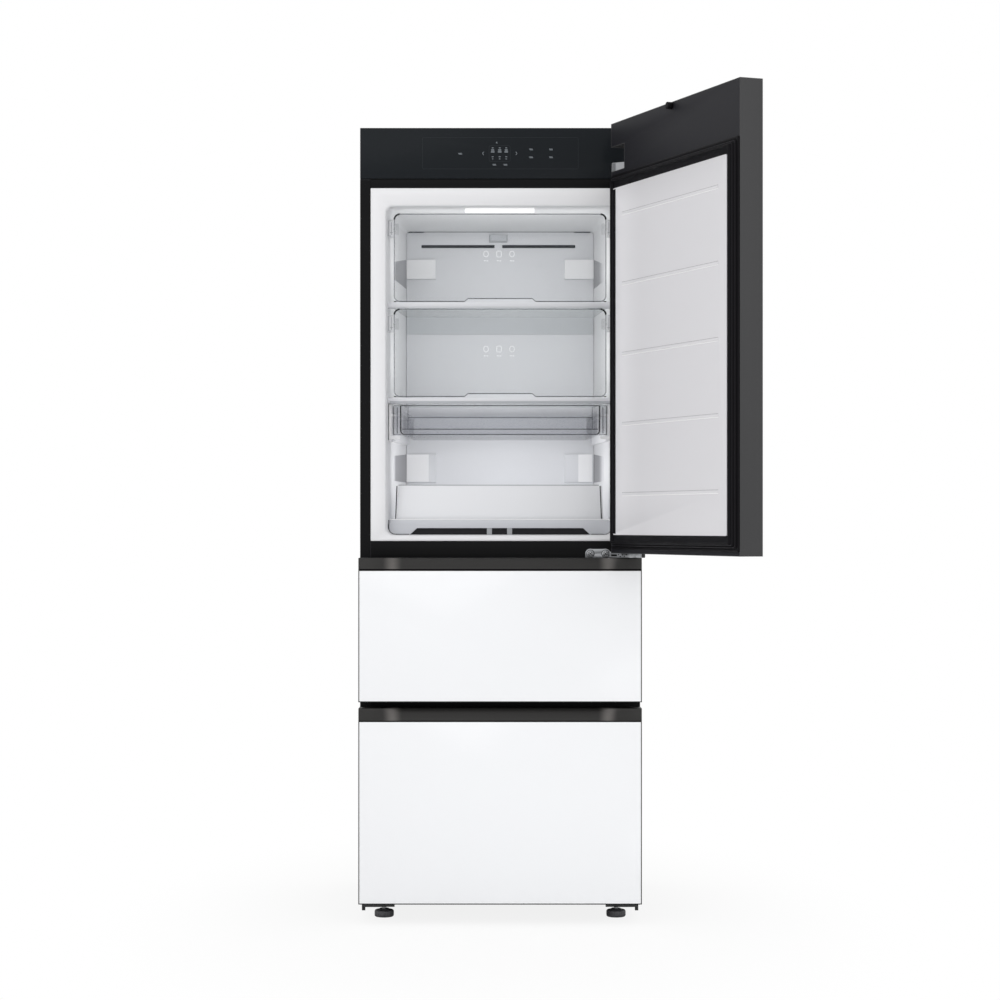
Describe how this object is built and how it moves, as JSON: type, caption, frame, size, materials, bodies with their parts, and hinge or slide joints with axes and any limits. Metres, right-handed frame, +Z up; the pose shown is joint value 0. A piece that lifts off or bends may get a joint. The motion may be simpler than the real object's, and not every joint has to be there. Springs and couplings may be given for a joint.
{
  "type": "kimchi refrigerator",
  "caption": "Tall kimchi refrigerator: hinged upper door over shelves with lift-up guards, and two full-width pull-out drawers with scooped handles.",
  "frame": {"origin": "on the floor, midway between the two front levelling feet", "axes": "+X to the right seen from the front, +Y from the front into the cabinet, +Z up"},
  "size_m": [0.8808, 1.2934, 1.865],
  "materials": {
    "dark_steel": "satin powder coat",
    "black_trim": "moulded, fine grain",
    "rear_steel": "galvanised, dull",
    "foam": "closed-cell foam",
    "liner": "vacuum-formed, satin gloss",
    "panel_glass": "dark printed glass",
    "housing": "moulded",
    "cover_plastic": "moulded",
    "lamp_lens": "opal lens",
    "clear_glass": "tempered, clear",
    "clear_plastic": "clear polystyrene",
    "clear_bin": "clear polystyrene, blue-grey",
    "tray_plastic": "moulded",
    "white_glass": "back-painted glass",
    "frame_metal": "brushed, dark anodised",
    "base_plate": "satin",
    "gasket_rubber": "extruded",
    "hinge_metal": "zinc plated",
    "handle_metal": "brushed, dark anodised",
    "bin_plastic": "moulded",
    "rail_steel": "zinc plated",
    "fin_aluminium": "mill finish",
    "black_metal": "gloss black enamel",
    "fan_plastic": "moulded",
    "foot_plastic": "moulded"
  },
  "bodies": {
    "cabinet": {"side_skin_left": "dark_steel", "side_skin_right": "dark_steel", "top_panel": "dark_steel", "back_panel": "rear_steel", "front_beams": "black_trim", "side_foams": "foam", "back_foam": "foam", "cross_foams": "foam", "upper_liner": "liner", "middle_liner": "liner", "bottom_liner": "liner", "control_glass": "panel_glass", "control_housing": "housing", "duct_cover": "cover_plastic", "sensor_cap": "cover_plastic", "ceiling_lamp": "lamp_lens", "shelf_panes": "clear_glass", "shelf_trims": "tray_plastic", "guard_brackets": "cover_plastic", "drawer_guides": "liner", "floor_tray": "tray_plastic", "guard_plate": "liner", "upper_hinge": "hinge_metal", "lower_hinge": "hinge_metal", "hinge_screws": "hinge_metal", "hinge_stop": "black_trim", "cabinet_rails": "rail_steel", "base_tray": "black_metal", "rear_cover": "rear_steel", "compressor": "black_metal", "condenser": "fin_aluminium", "evaporator": "fin_aluminium"},
    "door": {"door_glass": "white_glass", "door_frame": "frame_metal", "door_core": "foam", "door_base": "base_plate", "door_gasket": "gasket_rubber", "door_liner": "liner", "door_bumper": "gasket_rubber", "hinge_bushes": "rail_steel"},
    "upper_guard": {"guard_upper": "clear_plastic"},
    "lower_guard": {"guard_lower": "clear_plastic"},
    "clear_bin": {"clear_drawer": "clear_bin"},
    "middle_drawer": {"middle_glass": "white_glass", "middle_shell": "dark_steel", "middle_handle": "handle_metal", "middle_gasket": "gasket_rubber", "middle_bin": "bin_plastic"},
    "middle_slides": {"middle_mid_rails": "rail_steel"},
    "bottom_drawer": {"bottom_glass": "white_glass", "bottom_shell": "dark_steel", "bottom_handle": "handle_metal", "bottom_gasket": "gasket_rubber", "bottom_bin": "bin_plastic"},
    "bottom_slides": {"bottom_mid_rails": "rail_steel"},
    "duct_fan": {"evaporator_fan": "fan_plastic"},
    "cooling_fan": {"condenser_fan": "fan_plastic"},
    "left_foot": {"foot_left": "foot_plastic"},
    "right_foot": {"foot_right": "foot_plastic"},
    "rollers": {"rear_rollers": "foot_plastic"}
  },
  "joints": [
    {"name": "door_hinge", "type": "hinge", "parent": "cabinet", "child": "door", "pos_m": [0.3064, -0.1015, 1.36], "axis": [0, 0, 1], "range_deg": [-111.5, 13.5]},
    {"name": "upper_guard_pivot", "type": "hinge", "parent": "cabinet", "child": "upper_guard", "pos_m": [0, 0.014, 1.6333], "axis": [-1, 0, 0], "range_deg": [0, 85]},
    {"name": "lower_guard_pivot", "type": "hinge", "parent": "cabinet", "child": "lower_guard", "pos_m": [0, 0.014, 1.4073], "axis": [-1, 0, 0], "range_deg": [0, 85]},
    {"name": "clear_drawer_slide", "type": "slide", "parent": "cabinet", "child": "clear_bin", "axis": [0, -1, 0], "range_m": [0, 0.3]},
    {"name": "middle_drawer_slide", "type": "slide", "parent": "cabinet", "child": "middle_drawer", "axis": [0, -1, 0], "range_m": [0, 0.4]},
    {"name": "middle_rail_slide", "type": "slide", "parent": "cabinet", "child": "middle_slides", "axis": [0, -1, 0], "range_m": [0, 0.2]},
    {"name": "bottom_drawer_slide", "type": "slide", "parent": "cabinet", "child": "bottom_drawer", "axis": [0, -1, 0], "range_m": [0, 0.4]},
    {"name": "bottom_rail_slide", "type": "slide", "parent": "cabinet", "child": "bottom_slides", "axis": [0, -1, 0], "range_m": [0, 0.2]},
    {"name": "duct_fan_spin", "type": "hinge", "parent": "cabinet", "child": "duct_fan", "pos_m": [0, 0.41, 1.56], "axis": [0, 1, 0], "continuous": true},
    {"name": "cooling_fan_spin", "type": "hinge", "parent": "cabinet", "child": "cooling_fan", "pos_m": [0.0585, 0.49625, 0.118], "axis": [1, 0, 0], "continuous": true},
    {"name": "left_foot_turn", "type": "hinge", "parent": "cabinet", "child": "left_foot", "pos_m": [-0.275, 0, 0], "axis": [0, 0, 1], "continuous": true},
    {"name": "right_foot_turn", "type": "hinge", "parent": "cabinet", "child": "right_foot", "pos_m": [0.275, 0, 0], "axis": [0, 0, 1], "continuous": true},
    {"name": "roller_spin", "type": "hinge", "parent": "cabinet", "child": "rollers", "pos_m": [0, 0.524, 0.02], "axis": [1, 0, 0], "continuous": true}
  ],
  "couplings": [
    {"joint": "middle_rail_slide", "follows": "middle_drawer_slide", "ratio": 0.5},
    {"joint": "bottom_rail_slide", "follows": "bottom_drawer_slide", "ratio": 0.5}
  ]
}
